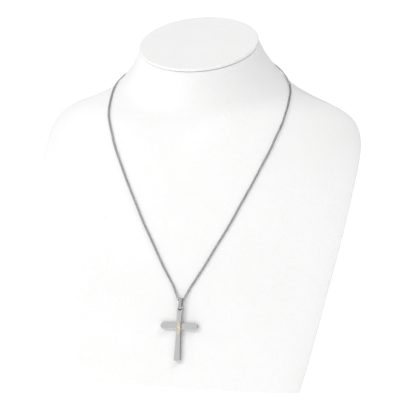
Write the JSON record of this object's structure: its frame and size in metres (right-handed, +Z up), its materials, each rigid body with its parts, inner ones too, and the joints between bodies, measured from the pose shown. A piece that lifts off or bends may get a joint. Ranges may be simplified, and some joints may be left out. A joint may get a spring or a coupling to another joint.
{
  "type": "cross necklace on a neck bust",
  "caption": "Steel cross with flared, round-ended bars and a pointed gold plate, pinned in a bail on a fine curb chain, displayed on a plain white neck bust.",
  "frame": {"origin": "On the floor under the middle of the bust's bounding box, which is also its left and right middle plane.", "axes": "Z is up. The bust's chest and the front of the cross face -Y. X runs across the shoulders, +X to the right as seen from the front."},
  "size_m": [0.2506, 0.136, 0.2722],
  "materials": {
    "white_leatherette": "smooth white leatherette, soft sheen",
    "polished_steel": "polished stainless steel",
    "satin_steel": "satin stainless steel with soft edges",
    "pale_gold": "polished pale gold",
    "clear_stone": "clear, facet cut"
  },
  "bodies": {
    "display": {"bust": "white_leatherette", "neck_cap": "white_leatherette", "chain": "polished_steel", "clasp": "polished_steel"},
    "bail": {"bail": "polished_steel"},
    "cross": {"cross": "satin_steel", "gold_accent": "pale_gold", "stone": "clear_stone"}
  },
  "joints": [
    {"name": "bail_swing", "type": "hinge", "parent": "display", "child": "bail", "pos_m": [0, -0.053, 0.0648], "axis": [-1, 0, 0], "range_deg": [0, 90]},
    {"name": "cross_swing", "type": "hinge", "parent": "bail", "child": "cross", "pos_m": [0, -0.05439, 0.05979], "axis": [-1, 0, 0], "range_deg": [0, 90]}
  ]
}
